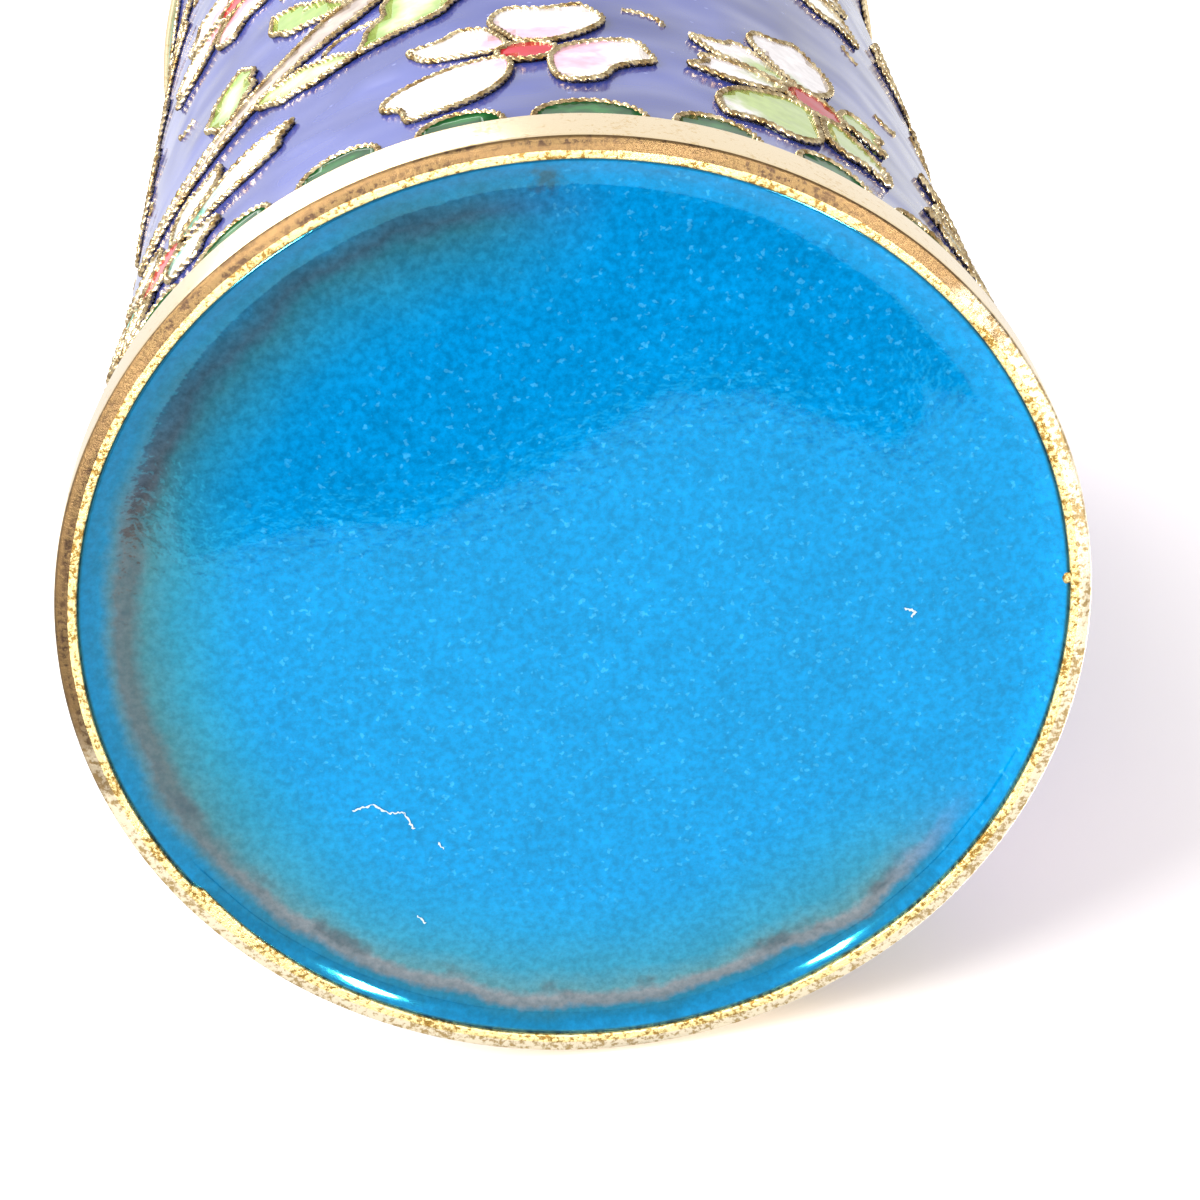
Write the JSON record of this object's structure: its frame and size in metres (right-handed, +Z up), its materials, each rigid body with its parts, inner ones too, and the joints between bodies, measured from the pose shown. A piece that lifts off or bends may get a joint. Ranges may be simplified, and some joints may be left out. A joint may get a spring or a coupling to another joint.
{
  "type": "cloisonne brush holder",
  "caption": "Upright open cylinder for holding brushes: enamelled copper with gilt foot and mouth rims and a wall of wired blossoms, boughs and scallops.",
  "frame": {"origin": "middle of the underside of the foot rim, on the surface the pot stands on", "axes": "+Z up along the pot's own axis, towards the mouth; -Y towards the viewer"},
  "size_m": [0.0682, 0.0682, 0.112],
  "materials": {
    "copper": "beaten sheet copper, hidden between the enamels",
    "gilt_copper": "gilding, matt and speckled on the foot edge, polished on the bands",
    "periwinkle_enamel": "glossy, slightly wavy fired enamel",
    "turquoise_enamel": "glossy fired enamel with a fine mottle",
    "green_enamel": "glossy fired enamel",
    "white_enamel": "glossy opaque enamel, faintly pink",
    "aqua_enamel": "glossy opaque enamel, aqua shading to white",
    "lime_enamel": "glossy opaque enamel, lime shading to white",
    "blush_enamel": "glossy opaque enamel, pink shading to white",
    "cream_enamel": "glossy opaque enamel, cream",
    "bough_enamel": "glossy enamel, grey-brown boughs and lime leaves"
  },
  "bodies": {
    "root": {"copper_body": "copper", "ground_enamel": "periwinkle_enamel", "lining_enamel": "turquoise_enamel", "base_enamel": "turquoise_enamel", "foot_rim": "gilt_copper", "mouth_rim": "gilt_copper", "foot_scallops": "green_enamel", "mouth_lappets": "green_enamel", "blossom_aqua_1": "aqua_enamel", "blossom_white_1": "white_enamel", "blossom_lime_1": "lime_enamel", "blossom_blush_1": "blush_enamel", "blossom_cream_1": "cream_enamel", "blossom_snow_1": "white_enamel", "bough_1": "bough_enamel", "sprig_1": "bough_enamel", "blossom_aqua_2": "aqua_enamel", "blossom_white_2": "white_enamel", "blossom_lime_2": "lime_enamel", "blossom_blush_2": "blush_enamel", "blossom_cream_2": "cream_enamel", "blossom_snow_2": "white_enamel", "bough_2": "bough_enamel", "sprig_2": "bough_enamel", "blossom_aqua_3": "aqua_enamel", "blossom_white_3": "white_enamel", "blossom_lime_3": "lime_enamel", "blossom_blush_3": "blush_enamel", "blossom_cream_3": "cream_enamel", "blossom_snow_3": "white_enamel", "bough_3": "bough_enamel", "sprig_3": "bough_enamel"}
  },
  "joints": []
}
